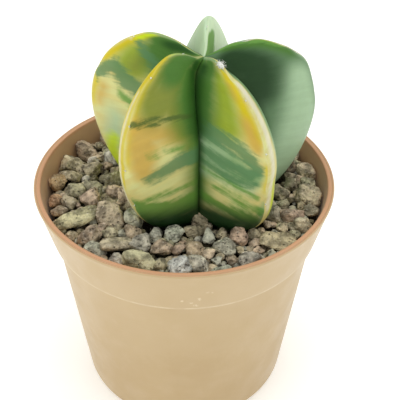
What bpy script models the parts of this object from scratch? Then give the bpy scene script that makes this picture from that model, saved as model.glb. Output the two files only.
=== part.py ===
"""A five-ribbed bishop's cap cactus, planted in a tapered plastic pot and dressed with pumice.

Units are metres, +Z is up, and the origin is the middle of the pot's foot. The front is -Y.
Each separate piece is one object: pot, potting_mix, top_dressing and cactus.
"""

import math
import random

import bmesh
import bpy
from mathutils import Matrix, Vector

MM = 0.001
GAP = 0.4 * MM  # left between upright faces that touch
SEAT = 0.3 * MM  # left where one piece rests on another

# Pot, moulded in thin plastic with a wider collar at its top
POT_HEIGHT = 55.7 * MM
RIM_RADIUS = 32.5 * MM
COLLAR_HEIGHT = 11.0 * MM
COLLAR_FOOT_RADIUS = 30.1 * MM
COLLAR_SLOPE = 0.5 * MM  # height of the slanted face under the collar
BODY_TOP_RADIUS = 29.2 * MM
BASE_RADIUS = 24.9 * MM
BASE_ROUND = 2.1 * MM
WALL = 0.9 * MM
LIP = 1.4 * MM  # the collar's wall thickens to this at the rim
FLOOR = 1.0 * MM
FOOT_LIFT = 1.2 * MM  # the floor stands this far above the foot ring
FOOT_WIDTH = 2.2 * MM
DRAIN_RADIUS = 2.4 * MM
DRAIN_CIRCLE = 13.5 * MM
DRAIN_COUNT = 6
POT_SIDES = 60
LIP_ROUND = 0.3 * MM
INNER_CHAMFER = 1.0 * MM  # in the corner between wall and floor

# Levels inside the pot
GRAVEL_LEVEL = POT_HEIGHT - 3.5 * MM
GRAVEL_BED_TOP = GRAVEL_LEVEL - 1.4 * MM
GRAVEL_BED_BOTTOM = POT_HEIGHT - COLLAR_HEIGHT + 0.9 * MM
MIX_TOP = GRAVEL_BED_BOTTOM - SEAT
FILL_SIDES = 48

# Cactus body: outlines as (distance from the plant's axis, height above the gravel level) in mm,
# from the root neck up to the sunken crown, along a rib's crest and along the groove between ribs
PLANT_AXIS = Vector((3.8 * MM, 1.7 * MM, 0.0))
CREST_OUTLINE = [
    (3, -12), (11, -6.5), (18.0, -1.5), (22.2, 4.5), (24.8, 11), (25.5, 17), (24.3, 22.7),
    (21.3, 27.7), (17, 31.4), (11.6, 33.7), (6.5, 33.2), (2.6, 31.4), (0, 30.5),
]
GROOVE_OUTLINE = [
    (3, -12), (8, -6.5), (11.2, -2), (13.2, 3), (14, 8.5), (13.8, 14), (12.8, 19),
    (10.8, 23.2), (8.0, 26.4), (5.0, 28.6), (2.8, 29.8), (1.2, 30.4), (0, 30.5),
]
OUTLINE_STEPS = 2
FLANK_STEPS = 5
CREST_BLUNTNESS = 0.6  # 0 would be a knife edge
TAPROOT = [(1.0, -30), (2.1, -21)]
ROOT_HOLE = [(0, -31.0), (1.8, -30.6), (3.7, -12.4), (12.0, -6.9), (12.0, -3.0), (0, -3.0)]
HALF_SECTOR = math.pi / 5
CROWN_HEIGHT = GRAVEL_LEVEL + 30.5 * MM

# Each rib: its direction in degrees, its reach at the foot and at the waist as a share of the
# outline's, how far its shoulder stands above the outline and its outer corner outside it in mm,
# and where its areoles sit, in mm along the crest from the crown
RIBS = [
    {"turn": 230.8, "foot": 0.955, "waist": 0.94, "shoulder": 0.9, "corner": 0.0,
     "areoles": (7, 17, 27, 36, 46)},
    {"turn": 302.8, "foot": 1.0, "waist": 0.885, "shoulder": -4.3, "corner": 0.0,
     "areoles": (5, 15, 26, 37.5)},
    {"turn": 14.8, "foot": 1.0, "waist": 0.985, "shoulder": -0.8, "corner": 1.3,
     "areoles": (9, 21, 32, 43)},
    {"turn": 84.0, "foot": 1.0, "waist": 1.0, "shoulder": 0.0, "corner": 0.0,
     "areoles": (8, 19, 31, 42)},
    {"turn": 158.8, "foot": 1.0, "waist": 1.0, "shoulder": 0.0, "corner": 0.0,
     "areoles": (5, 15.5, 27, 38, 46)},
]
# How far to the side, in mm, the groove between the first two ribs leaves the crown
FRONT_GROOVE_DRIFT = -1.3
AREOLE_RADIUS = 0.8 * MM
AREOLE_HEIGHT = 0.5 * MM

# Stones: the large ones that give the dressing its look, each with its place, length, width and
# height in mm, and the turn of its length in degrees
LARGE_STONES = [
    (-22.8, -11.3, 9.3, 4.2, 2.8, 29),
    (-15.6, -9.9, 6.7, 5.0, 4.2, -17),
    (-13.7, -19.1, 7.1, 3.8, 3.0, 22),
    (-8.8, -23.6, 6.4, 4.8, 4.0, -14),
    (-1.2, -25.2, 4.6, 4.2, 4.0, -11),
    (-28.4, 1.6, 3.8, 3.6, 3.8, 11),
    (-27.9, -4.0, 3.2, 3.0, 2.8, 6),
    (-26.4, -8.2, 3.0, 2.8, 3.0, 0),
    (18.9, -17.9, 7.4, 5.0, 2.4, -14),
    (27.0, -3.2, 6.1, 4.6, 4.0, -40),
    (22.8, -9.9, 4.8, 4.2, 4.0, 8),
    (27.0, -8.4, 3.3, 3.2, 3.2, -19),
    (24.6, -12.8, 3.9, 3.4, 3.4, 35),
    (12.8, -23.4, 4.4, 4.4, 4.2, -24),
    (8.1, -19.6, 4.4, 3.8, 3.2, -20),
    (-26.4, 9.4, 5.5, 4.4, 4.0, -17),
    (-25.4, 3.9, 4.7, 3.6, 3.0, -19),
    (-21.2, 6.8, 4.4, 3.6, 3.2, -16),
    (-20.4, 0.6, 4.8, 3.4, 2.8, -28),
    (-22.8, 14.3, 6.4, 4.6, 3.8, -37),
    (-4.6, -20.4, 4.1, 3.6, 3.4, -22),
    (2.8, -24.6, 4.9, 3.4, 3.0, -7),
    (28.0, 6.0, 5.6, 4.2, 3.8, -68),
    (1.9, -20.2, 4.2, 3.4, 3.2, -60),
]
STONE_SEED = 11
STONE_SIZES = ((4.8, 400), (3.9, 600), (3.1, 900), (2.4, 1200))  # length in mm, tries
STONE_CROWDING = 0.43  # share of two lengths that their middles keep apart
STONE_CORNERS = 10
CREST_REACH = 19.5 * MM  # of the body at the gravel
GROOVE_REACH = 11.5 * MM


def clear_scene():
    for obj in list(bpy.data.objects):
        bpy.data.objects.remove(obj)


def finish_with(obj, name, colour, roughness):
    """Gives the object a plain plastic, stone or plant finish."""
    mat = bpy.data.materials.new(name)
    mat.use_nodes = True
    shader = mat.node_tree.nodes["Principled BSDF"]
    shader.inputs["Base Color"].default_value = (*colour, 1.0)
    shader.inputs["Roughness"].default_value = roughness
    shader.inputs["Metallic"].default_value = 0.0
    obj.data.materials.clear()
    obj.data.materials.append(mat)


def object_from(name, bm):
    """Turns the bmesh into an object of the scene, with its faces pointing out."""
    bmesh.ops.recalc_face_normals(bm, faces=bm.faces)
    mesh = bpy.data.meshes.new(name)
    bm.to_mesh(mesh)
    bm.free()
    obj = bpy.data.objects.new(name, mesh)
    bpy.context.scene.collection.objects.link(obj)
    return obj


def turned(name, outline, sides, centre=(0.0, 0.0)):
    """A solid of revolution. The outline runs from the axis back to the axis, as (radius, height)."""
    bm = bmesh.new()
    points = [bm.verts.new((r, 0.0, z)) for r, z in outline]
    for a, b in zip(points, points[1:]):
        bm.edges.new((a, b))
    bmesh.ops.spin(
        bm, geom=bm.verts[:] + bm.edges[:], cent=(0, 0, 0), axis=(0, 0, 1),
        angle=2 * math.pi, steps=sides,
    )
    bmesh.ops.remove_doubles(bm, verts=bm.verts, dist=0.001 * MM)
    bmesh.ops.translate(bm, verts=bm.verts, vec=(centre[0], centre[1], 0.0))
    return object_from(name, bm)


def quarter_arc(centre_r, centre_z, radius, start, end, steps):
    """Points of an arc in the outline's plane, with its angles in degrees."""
    angles = [math.radians(start + (end - start) * i / steps) for i in range(steps + 1)]
    return [(centre_r + radius * math.cos(a), centre_z + radius * math.sin(a)) for a in angles]


def boolean(obj, operation, solver="EXACT", cutter=None, others=None):
    """Applies one Boolean to the object, and removes what it was made with."""
    modifier = obj.modifiers.new(operation.title(), "BOOLEAN")
    modifier.operation = operation
    modifier.solver = solver
    if others is None:
        modifier.object = cutter
        used = [cutter]
    else:
        modifier.operand_type = "COLLECTION"
        modifier.collection = others
        used = list(others.objects)
    graph = bpy.context.evaluated_depsgraph_get()
    result = bpy.data.meshes.new_from_object(obj.evaluated_get(graph))
    obj.modifiers.clear()
    obj.data = result
    for helper in used:
        bpy.data.objects.remove(helper)
    if others is not None:
        bpy.data.collections.remove(others)


def pot_radius(height):
    """The outer radius of the pot's wall at this height."""
    collar_foot = POT_HEIGHT - COLLAR_HEIGHT
    if height >= collar_foot:
        share = (height - collar_foot) / COLLAR_HEIGHT
        return COLLAR_FOOT_RADIUS + (RIM_RADIUS - COLLAR_FOOT_RADIUS) * share
    return BASE_RADIUS + (BODY_TOP_RADIUS - BASE_RADIUS) * height / collar_foot


def filling_radius(height):
    """The radius of what fills the pot at this height: its inner wall less the gap."""
    above_collar_foot = max(height - (POT_HEIGHT - COLLAR_HEIGHT), 0.0)
    wall = WALL + (LIP - WALL) * above_collar_foot / COLLAR_HEIGHT
    return pot_radius(height) - wall - GAP


def make_pot():
    """A thin tapered shell with a collar, a foot ring and drain holes in its raised floor."""
    collar_foot = POT_HEIGHT - COLLAR_HEIGHT
    foot_outer = pot_radius(BASE_ROUND) - BASE_ROUND
    floor_top = FOOT_LIFT + FLOOR
    outline = [(0, FOOT_LIFT), (foot_outer - FOOT_WIDTH, FOOT_LIFT), (foot_outer - FOOT_WIDTH, 0)]
    outline += quarter_arc(foot_outer, BASE_ROUND, BASE_ROUND, -90, 0, 3)
    outline += [(BODY_TOP_RADIUS, collar_foot - COLLAR_SLOPE), (COLLAR_FOOT_RADIUS, collar_foot)]
    outline += quarter_arc(RIM_RADIUS - LIP_ROUND, POT_HEIGHT - LIP_ROUND, LIP_ROUND, 0, 90, 2)
    outline += quarter_arc(
        RIM_RADIUS - LIP + LIP_ROUND, POT_HEIGHT - LIP_ROUND, LIP_ROUND, 90, 180, 2)
    outline += [
        (COLLAR_FOOT_RADIUS - WALL, collar_foot + WALL - COLLAR_SLOPE),
        (BODY_TOP_RADIUS - WALL, collar_foot + WALL - 2 * COLLAR_SLOPE),
    ]
    inner_foot = pot_radius(floor_top) - WALL
    outline += [
        (inner_foot, floor_top + INNER_CHAMFER), (inner_foot - INNER_CHAMFER, floor_top), (0, floor_top),
    ]
    pot = turned("pot", outline, POT_SIDES)
    drains = bpy.data.collections.new("drains")
    bpy.context.scene.collection.children.link(drains)
    for index in range(DRAIN_COUNT):
        angle = 2 * math.pi * index / DRAIN_COUNT
        bpy.ops.mesh.primitive_cylinder_add(
            vertices=16, radius=DRAIN_RADIUS, depth=4 * floor_top,
            location=(DRAIN_CIRCLE * math.cos(angle), DRAIN_CIRCLE * math.sin(angle), 0),
        )
        drain = bpy.context.object
        for owner in list(drain.users_collection):
            owner.objects.unlink(drain)
        drains.objects.link(drain)
    boolean(pot, "DIFFERENCE", others=drains)
    pot.data.shade_smooth()
    pot.data.set_sharp_from_angle(angle=math.radians(35))
    finish_with(pot, "tan plastic", (0.62, 0.45, 0.28), 0.45)
    return pot


def smooth_line(points, steps):
    """A smooth curve through all the points, as a Catmull-Rom spline."""
    ends = [2 * points[0] - points[1]] + points + [2 * points[-1] - points[-2]]
    line = []
    for p0, p1, p2, p3 in zip(ends, ends[1:], ends[2:], ends[3:]):
        for step in range(steps):
            t = step / steps
            line.append(0.5 * (
                2 * p1 + (p2 - p0) * t + (2 * p0 - 5 * p1 + 4 * p2 - p3) * t**2
                + (3 * p1 - p0 - 3 * p2 + p3) * t**3
            ))
    return line + [points[-1]]


def ease(x):
    """0 below 0, 1 above 1, and smooth between."""
    x = min(max(x, 0.0), 1.0)
    return x * x * (3 - 2 * x)


def crest_point(rib, radius, height):
    """A rib's own crest, from the common outline's radius and height in mm."""
    reach = rib["foot"] + (rib["waist"] - rib["foot"]) * ease((height - 2) / 12)
    above_neck = ease((radius - 3) / 12)
    own_radius = radius * (1 + (reach - 1) * above_neck)
    own_radius += rib["corner"] * math.exp(-(((height - 29) / 4) ** 2)) * ease((radius - 12) / 7)
    own_height = height + rib["shoulder"] * ease((height - 10) / 18) * ease((radius - 2) / 9)
    return own_radius, own_height


def flank_share(across):
    """How far out the flank stands from groove to crest; across is 0 at the crest and 1 at the groove."""
    e = CREST_BLUNTNESS
    top = math.sqrt(1 + e * e)
    return (top - math.sqrt(across * across + e * e)) / (top - e)


def plant_place(rib, x, y, height):
    """A point given along and across a rib and above the gravel in mm, in the pot's frame."""
    turn = math.radians(rib["turn"])
    along = Vector((math.cos(turn), math.sin(turn), 0))
    across = Vector((-math.sin(turn), math.cos(turn), 0))
    return PLANT_AXIS + along * x * MM + across * y * MM + Vector((0, 0, GRAVEL_LEVEL + height * MM))


def groove_drift(radius, height):
    """How far the front groove stands to the side at this point of its outline."""
    return FRONT_GROOVE_DRIFT * MM * ease(radius / 5) * ease((height - 17) / 12)


def body_rings():
    """The rings of points round the body, from the root neck to just under the crown."""
    crest = smooth_line([Vector(p) for p in CREST_OUTLINE], OUTLINE_STEPS)
    groove = smooth_line([Vector(p) for p in GROOVE_OUTLINE], OUTLINE_STEPS)
    rings = []
    for (crest_r, crest_h), (groove_r, groove_h) in zip(crest[:-1], groove[:-1]):
        ring = []
        for index, rib in enumerate(RIBS):
            radius, height = crest_point(rib, crest_r, crest_h)
            for step in range(-FLANK_STEPS, FLANK_STEPS):
                neighbour = RIBS[(index + (1 if step > 0 else -1)) % len(RIBS)]
                gap = (neighbour["turn"] - rib["turn"] + 180) % 360 - 180
                half = math.radians(abs(gap)) / 2
                across = abs(step) / FLANK_STEPS
                share = flank_share(across)
                x = groove_r * math.cos(half) + (radius - groove_r * math.cos(half)) * share
                y = math.copysign(groove_r * math.sin(half) * across, step)
                place = plant_place(rib, x, y, groove_h + (height - groove_h) * share)
                if (index, step > 0) in ((0, True), (1, False)):
                    place.x += groove_drift(groove_r, groove_h) * across**2
                ring.append(place)
        rings.append(ring)
    return rings


def root_rings(count):
    """The taproot's rings, from its tip up to the neck."""
    rings = []
    for radius, height in TAPROOT:
        first = math.radians(RIBS[0]["turn"]) - HALF_SECTOR
        centre = PLANT_AXIS + Vector((0, 0, GRAVEL_LEVEL + height * MM))
        rings.append([
            centre + Vector((math.cos(a), math.sin(a), 0)) * radius * MM
            for a in (first + 2 * math.pi * i / count for i in range(count))
        ])
    return rings


def skinned(name, rings, top):
    """Joins rings of equal length into one closed skin, with its first ring filled and a point on top."""
    bm = bmesh.new()
    loops = [[bm.verts.new(p) for p in ring] for ring in rings]
    count = len(loops[0])
    for lower, upper in zip(loops, loops[1:]):
        for i in range(count):
            j = (i + 1) % count
            bm.faces.new((lower[i], lower[j], upper[j], upper[i]))
    tip = bm.verts.new(top)
    for i in range(count):
        bm.faces.new((loops[-1][i], loops[-1][(i + 1) % count], tip))
    bm.faces.new(reversed(loops[0]))
    return object_from(name, bm)


def crest_at(rib, distance):
    """The point and the outward direction on a rib's crest, this many mm along it from the crown."""
    line = smooth_line([Vector(p) for p in CREST_OUTLINE], 8)[::-1]
    points = [Vector(crest_point(rib, r, h)) for r, h in line]
    gone = 0.0
    for a, b in zip(points, points[1:]):
        step = (b - a).length
        if gone + step >= distance:
            spot = a.lerp(b, (distance - gone) / step)
            along = (b - a).normalized()
            return spot, Vector((-along.y, along.x))
        gone += step
    raise ValueError("the areole lies past the end of the crest")


def areole(rib, distance):
    """A low woolly cushion, set on the crest and half sunk in it."""
    (radius, height), (out_r, out_h) = crest_at(rib, distance)
    place = plant_place(rib, radius, 0, height)
    normal = plant_place(rib, radius + out_r, 0, height + out_h) - place
    bpy.ops.mesh.primitive_ico_sphere_add(subdivisions=1, radius=1.0)
    cushion = bpy.context.object
    turn = normal.to_track_quat("Z", "Y").to_matrix().to_4x4()
    size = Matrix.Diagonal((AREOLE_RADIUS, AREOLE_RADIUS, AREOLE_HEIGHT, 1.0))
    cushion.data.transform(Matrix.Translation(place) @ turn @ size)
    return cushion


def make_cactus():
    """The ribbed body with its neck and taproot, and the areoles along each crest."""
    rings = body_rings()
    skin = root_rings(len(rings[0])) + rings
    top = Vector((PLANT_AXIS.x, PLANT_AXIS.y, CROWN_HEIGHT))
    cactus = skinned("cactus", skin, top)
    cushions = bpy.data.collections.new("areoles")
    bpy.context.scene.collection.children.link(cushions)
    for rib in RIBS:
        for distance in rib["areoles"]:
            cushion = areole(rib, distance)
            for owner in list(cushion.users_collection):
                owner.objects.unlink(cushion)
            cushions.objects.link(cushion)
    boolean(cactus, "UNION", others=cushions)
    cactus.data.shade_smooth()
    finish_with(cactus, "cactus skin", (0.16, 0.33, 0.10), 0.5)
    return cactus


def grown_copy(obj, amount):
    """A copy of the body that stands this far outside it, used to cut the hole that it stands in."""
    bm = bmesh.new()
    bm.from_mesh(obj.data)
    bm.normal_update()
    moves = [(v, v.normal * amount) for v in bm.verts]
    for vert, move in moves:
        vert.co += move
    return object_from(obj.name + " cutter", bm)


def body_reach(x, y):
    """How far the body reaches towards this point at the gravel, and how far away the point is."""
    offset = Vector((x, y)) * MM - PLANT_AXIS.xy
    turn = math.degrees(math.atan2(offset.y, offset.x))
    nearest = min(abs((turn - rib["turn"] + 180) % 360 - 180) for rib in RIBS)
    share = flank_share(min(math.radians(nearest) / HALF_SECTOR, 1.0))
    return GROOVE_REACH + (CREST_REACH - GROOVE_REACH) * share, offset.length


def stone_places():
    """Every stone as (x, y, length, width, height, turn): the large ones, then more drawn by rule."""
    rng = random.Random(STONE_SEED)
    places = list(LARGE_STONES)
    for length, tries in STONE_SIZES:
        for _ in range(tries):
            size = length * rng.uniform(0.85, 1.2)
            outer = filling_radius(GRAVEL_LEVEL) / MM - 0.42 * size
            distance = outer * math.sqrt(rng.random())
            turn = rng.uniform(0, 2 * math.pi)
            x, y = distance * math.cos(turn), distance * math.sin(turn)
            reach, from_axis = body_reach(x, y)
            width, height = size * rng.uniform(0.7, 0.95), size * rng.uniform(0.6, 0.85)
            lie = rng.uniform(0, 180)
            if from_axis < reach + 0.15 * size * MM:
                continue
            if any(math.hypot(x - p[0], y - p[1]) < STONE_CROWDING * (size + 0.5 * (p[2] + p[3]))
                   for p in places):
                continue
            places.append((x, y, size, width, height, lie))
    return places


def stone(rng, place):
    """One angular stone: the hull of jittered points on an ellipsoid, kept inside the pot's wall."""
    x, y, length, width, height, turn = place
    rise = GRAVEL_BED_TOP + (0.22 * height + rng.uniform(0.0, 0.5)) * MM
    lie = (
        Matrix.Translation(Vector((x * MM, y * MM, rise)))
        @ Matrix.Rotation(math.radians(turn), 4, "Z")
        @ Matrix.Rotation(math.radians(rng.uniform(-14, 14)), 4, "X")
        @ Matrix.Rotation(math.radians(rng.uniform(-12, 12)), 4, "Y")
        @ Matrix.Diagonal((length / 2 * MM, width / 2 * MM, height / 2 * MM, 1.0))
    )
    bm = bmesh.new()
    golden = math.pi * (3 - math.sqrt(5))
    for i in range(STONE_CORNERS):
        up = 1 - 2 * (i + 0.5) / STONE_CORNERS
        flat = math.sqrt(1 - up * up)
        point = Vector((flat * math.cos(golden * i), flat * math.sin(golden * i), up))
        point += Vector((rng.uniform(-0.3, 0.3), rng.uniform(-0.3, 0.3), rng.uniform(-0.3, 0.3)))
        point = lie @ (point.normalized() * rng.uniform(0.95, 1.12))
        limit = filling_radius(point.z)
        from_middle = math.hypot(point.x, point.y)
        if from_middle > limit:
            point.x *= limit / from_middle
            point.y *= limit / from_middle
        bm.verts.new(point)
    hull = bmesh.ops.convex_hull(bm, input=bm.verts)
    spare = [v for v in hull["geom_interior"] if isinstance(v, bmesh.types.BMVert)]
    bmesh.ops.delete(bm, geom=spare, context="VERTS")
    return object_from("stone", bm)


def keep_largest(obj):
    """Drops any loose scrap that a Boolean left."""
    bm = bmesh.new()
    bm.from_mesh(obj.data)
    seen, groups = set(), []
    for start in bm.verts:
        if start in seen:
            continue
        seen.add(start)
        group, queue = [], [start]
        while queue:
            vert = queue.pop()
            group.append(vert)
            for edge in vert.link_edges:
                other = edge.other_vert(vert)
                if other not in seen:
                    seen.add(other)
                    queue.append(other)
        groups.append(group)
    groups.sort(key=len)
    for group in groups[:-1]:
        bmesh.ops.delete(bm, geom=group, context="VERTS")
    bm.to_mesh(obj.data)
    bm.free()


def make_top_dressing(cactus):
    """A bed of stones fused together, cut clear of the cactus."""
    outline = [
        (0, GRAVEL_BED_BOTTOM), (filling_radius(GRAVEL_BED_BOTTOM), GRAVEL_BED_BOTTOM),
        (filling_radius(GRAVEL_BED_TOP), GRAVEL_BED_TOP), (0, GRAVEL_BED_TOP),
    ]
    dressing = turned("top_dressing", outline, FILL_SIDES)
    stones = bpy.data.collections.new("stones")
    bpy.context.scene.collection.children.link(stones)
    for index, place in enumerate(stone_places()):
        piece = stone(random.Random(100 * STONE_SEED + index), place)
        bpy.context.scene.collection.objects.unlink(piece)
        stones.objects.link(piece)
    boolean(dressing, "UNION", others=stones, solver="MANIFOLD")
    boolean(dressing, "DIFFERENCE", cutter=grown_copy(cactus, GAP), solver="MANIFOLD")
    keep_largest(dressing)
    finish_with(dressing, "pumice", (0.33, 0.28, 0.22), 0.9)
    return dressing


def make_potting_mix():
    """The mineral mix that fills the pot, with a plain hole for the neck and the taproot."""
    bottom = FOOT_LIFT + FLOOR + SEAT
    chamfer = INNER_CHAMFER + SEAT
    neck = POT_HEIGHT - COLLAR_HEIGHT - COLLAR_SLOPE
    outline = [
        (0, bottom), (filling_radius(bottom) - chamfer, bottom),
        (filling_radius(bottom + chamfer), bottom + chamfer),
        (filling_radius(neck), neck), (filling_radius(neck), MIX_TOP), (0, MIX_TOP),
    ]
    mix = turned("potting_mix", outline, FILL_SIDES)
    hole = [(radius * MM, GRAVEL_LEVEL + height * MM) for radius, height in ROOT_HOLE]
    cutter = turned("root hole", hole, FILL_SIDES, PLANT_AXIS.xy)
    boolean(mix, "DIFFERENCE", cutter=cutter)
    finish_with(mix, "potting mix", (0.20, 0.16, 0.12), 0.95)
    return mix


clear_scene()
make_pot()
make_potting_mix()
cactus = make_cactus()
make_top_dressing(cactus)
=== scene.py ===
"""A bishop's cap cactus in a small tan pot, dressed with pumice, ready for its picture.

Lengths are in the CAD frame: +Z is up, the front is -Y, and the origin is the middle of the
pot's foot. Sizes are written in mm and multiplied by MM.
"""

import math
import random

import bmesh
import bpy
from mathutils import Matrix, Vector


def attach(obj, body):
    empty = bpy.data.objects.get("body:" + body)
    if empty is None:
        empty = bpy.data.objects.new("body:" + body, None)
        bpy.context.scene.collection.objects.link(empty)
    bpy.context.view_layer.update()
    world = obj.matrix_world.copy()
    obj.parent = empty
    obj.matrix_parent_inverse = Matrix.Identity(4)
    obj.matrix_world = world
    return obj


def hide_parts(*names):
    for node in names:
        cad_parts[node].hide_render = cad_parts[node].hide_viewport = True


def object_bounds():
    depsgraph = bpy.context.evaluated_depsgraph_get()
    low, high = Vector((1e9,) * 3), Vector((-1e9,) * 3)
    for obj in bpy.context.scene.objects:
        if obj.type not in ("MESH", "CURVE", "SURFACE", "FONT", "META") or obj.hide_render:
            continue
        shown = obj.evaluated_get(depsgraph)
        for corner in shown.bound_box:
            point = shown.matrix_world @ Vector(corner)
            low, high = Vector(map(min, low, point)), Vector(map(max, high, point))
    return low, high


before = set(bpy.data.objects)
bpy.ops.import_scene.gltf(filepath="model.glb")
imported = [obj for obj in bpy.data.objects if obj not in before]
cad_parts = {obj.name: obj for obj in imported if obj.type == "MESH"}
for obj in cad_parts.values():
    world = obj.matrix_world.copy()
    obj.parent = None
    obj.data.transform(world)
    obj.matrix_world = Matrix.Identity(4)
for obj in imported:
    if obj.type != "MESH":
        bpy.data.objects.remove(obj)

cad_box = [list(corner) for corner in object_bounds()]

# The pot is one thin shell of tan plastic, moulded in a single shot: a tapered body, a wider
# collar with a small step under it, a flat lip with a fine line round it, and a raised floor
# with six drain holes and the stub of the gate in its middle.

MM = 0.001
POT_SIDES = 160
POT_HEIGHT = 55.7
BODY_RADIUS = 24.9
BODY_FLARE = 4.3
COLLAR_FOOT = 44.7
COLLAR_HEIGHT = 11.0
COLLAR_RADIUS = 30.1
COLLAR_FLARE = 2.4
CORNER_MIDDLE = 23.0
CORNER_RADIUS = 2.1
FLOOR_MIDDLE = 1.7
DRAIN_RING = 13.5
DRAIN_RADIUS = 2.4


def body_radius(height):
    """The outside radius of the pot's body at this height."""
    return BODY_RADIUS + BODY_FLARE * height / COLLAR_FOOT


def collar_radius(height):
    """The outside radius of the pot's collar at this height."""
    return COLLAR_RADIUS + COLLAR_FLARE * (height - COLLAR_FOOT) / COLLAR_HEIGHT


# Radius and height, from the gate stub out under the floor and the foot ring, round the corner,
# up the body, over the step, up the collar, over the lip with its line, and back down inside
pot_outline = [(1.0, 0.75), (1.25, 0.85), (1.3, 1.1), (1.6, 1.2), (9.0, 1.2), (18.0, 1.2)]
pot_outline += [(20.5, 1.2), (20.75, 1.1), (20.8, 0.9), (20.8, 0.25), (20.9, 0.05), (21.1, 0.0)]
for turn in range(0, 91, 10):
    bend = math.radians(turn)
    pot_outline.append((
        CORNER_MIDDLE + CORNER_RADIUS * math.sin(bend), CORNER_RADIUS - CORNER_RADIUS * math.cos(bend)))
for height in range(6, 43, 4):
    pot_outline.append((body_radius(height), height))
pot_outline += [
    (29.14, 43.85), (29.2, 44.1), (29.34, 44.26), (29.9, 44.5), (30.06, 44.6), (30.12, 44.8),
]
for height in (46, 48, 50, 52, 54, 55.1):
    pot_outline.append((collar_radius(height), height))
pot_outline += [
    (32.5, 55.4), (32.49, 55.54), (32.42, 55.65), (32.3, 55.7), (32.14, 55.69), (32.05, 55.63),
    (31.98, 55.56), (31.91, 55.63), (31.82, 55.69), (31.7, 55.7), (31.36, 55.7), (31.2, 55.66),
    (31.11, 55.56), (31.08, 55.4), (30.85, 54.0), (30.3, 51.0), (29.75, 48.0), (29.2, 45.1),
    (29.0, 44.85), (28.4, 44.6), (28.3, 44.4), (27.0, 31.0), (25.6, 16.0), (24.3, 3.3),
    (24.1, 2.75), (23.85, 2.45), (23.3, 2.2), (9.0, 2.2), (2.0, 2.2),
]

stub_radius, stub_height = pot_outline[0]
bpy.ops.mesh.primitive_circle_add(
    vertices=POT_SIDES, radius=stub_radius * MM, location=(0, 0, stub_height * MM))
pot = bpy.context.object
pot.name = "pot_shell"
bpy.ops.object.transform_apply(location=True, rotation=True, scale=True)
bpy.ops.object.mode_set(mode="EDIT")
bpy.ops.mesh.select_all(action="SELECT")
for (radius, height), (next_radius, next_height) in zip(pot_outline, pot_outline[1:]):
    bpy.ops.mesh.extrude_edges_move()
    bpy.ops.transform.translate(value=(0, 0, (next_height - height) * MM))
    bpy.ops.transform.resize(
        value=(next_radius / radius, next_radius / radius, 1),
        center_override=(0, 0, next_height * MM),
    )
bpy.ops.mesh.edge_face_add()
bpy.ops.mesh.select_all(action="DESELECT")
shell = bmesh.from_edit_mesh(pot.data)
for edge in shell.edges:
    if edge.is_boundary:
        edge.select_set(True)
bmesh.update_edit_mesh(pot.data)
bpy.ops.mesh.edge_face_add()
bpy.ops.mesh.select_all(action="SELECT")
bpy.ops.mesh.normals_make_consistent(inside=False)
bpy.ops.object.mode_set(mode="OBJECT")


def apply_all(piece):
    """Applies the piece's modifiers, in their order."""
    bpy.ops.object.select_all(action="DESELECT")
    piece.select_set(True)
    bpy.context.view_layer.objects.active = piece
    for modifier in list(piece.modifiers):
        bpy.ops.object.modifier_apply(modifier=modifier.name)


drains = []
for turn in range(0, 360, 60):
    angle = math.radians(turn)
    middle = (
        DRAIN_RING * MM * math.cos(angle), DRAIN_RING * MM * math.sin(angle), FLOOR_MIDDLE * MM)
    bpy.ops.mesh.primitive_cylinder_add(
        vertices=36, radius=DRAIN_RADIUS * MM, depth=6 * MM, location=middle)
    drains.append(bpy.context.object)
for drain in drains:
    drain.select_set(True)
bpy.ops.object.join()
drain_cutter = bpy.context.object
holes = pot.modifiers.new("drain holes", "BOOLEAN")
holes.operation = "DIFFERENCE"
holes.object = drain_cutter
apply_all(pot)
bpy.data.objects.remove(drain_cutter)
bpy.ops.object.shade_smooth_by_angle(angle=math.radians(40))


def seen_as(red, green, blue):
    """A colour read off a screen, 0 to 255, as the shader's own linear values."""
    parts = [part / 255 for part in (red, green, blue)]
    linear = [part / 12.92 if part < 0.0404 else ((part + 0.055) / 1.055) ** 2.4 for part in parts]
    return (*linear, 1.0)


def add_node(tree, kind, settings=None, feeds=None):
    """Adds a node with its settings, and feeds its inputs with numbers, colours or sockets."""
    node = tree.nodes.new("ShaderNode" + kind)
    for name, value in (settings or {}).items():
        setattr(node, name, value)
    for name, value in (feeds or {}).items():
        if isinstance(value, bpy.types.NodeSocket):
            tree.links.new(value, node.inputs[name])
        else:
            node.inputs[name].default_value = value
    return node


def bare_finish(name, roughness, specular=0.5):
    """A finish with only its shader, and the place on the piece that its patterns read."""
    finish = bpy.data.materials.new(name)
    finish.use_nodes = True
    tree = finish.node_tree
    shader = tree.nodes["Principled BSDF"]
    shader.inputs["Roughness"].default_value = roughness
    shader.inputs["Specular IOR Level"].default_value = specular
    place = add_node(tree, "TexCoord").outputs["Object"]
    return finish, tree, shader, place


def clouds(tree, place, size, detail=3.0):
    """Cloudy grain between 0 and 1, with clouds of about this size in metres."""
    feeds = {"Vector": place, "Scale": 1 / size, "Detail": detail, "Roughness": 0.55}
    return add_node(tree, "TexNoise", None, feeds).outputs["Fac"]


def ramp(tree, value, low, high, start=0.0, end=1.0):
    """Start where the value is below low, end where it is above high, and smooth between."""
    feeds = {"Value": value, "From Min": low, "From Max": high, "To Min": start, "To Max": end}
    return add_node(tree, "MapRange", {"interpolation_type": "SMOOTHSTEP"}, feeds).outputs["Result"]


def blend(tree, share, first, second, way="MIX"):
    """The first colour, turned towards the second by the share."""
    settings = {"data_type": "RGBA", "blend_type": way}
    return add_node(tree, "Mix", settings, {0: share, 6: first, 7: second}).outputs[2]


def maths(tree, way, first, second):
    """Two values added, multiplied or compared."""
    return add_node(tree, "Math", {"operation": way}, {0: first, 1: second}).outputs[0]


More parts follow.
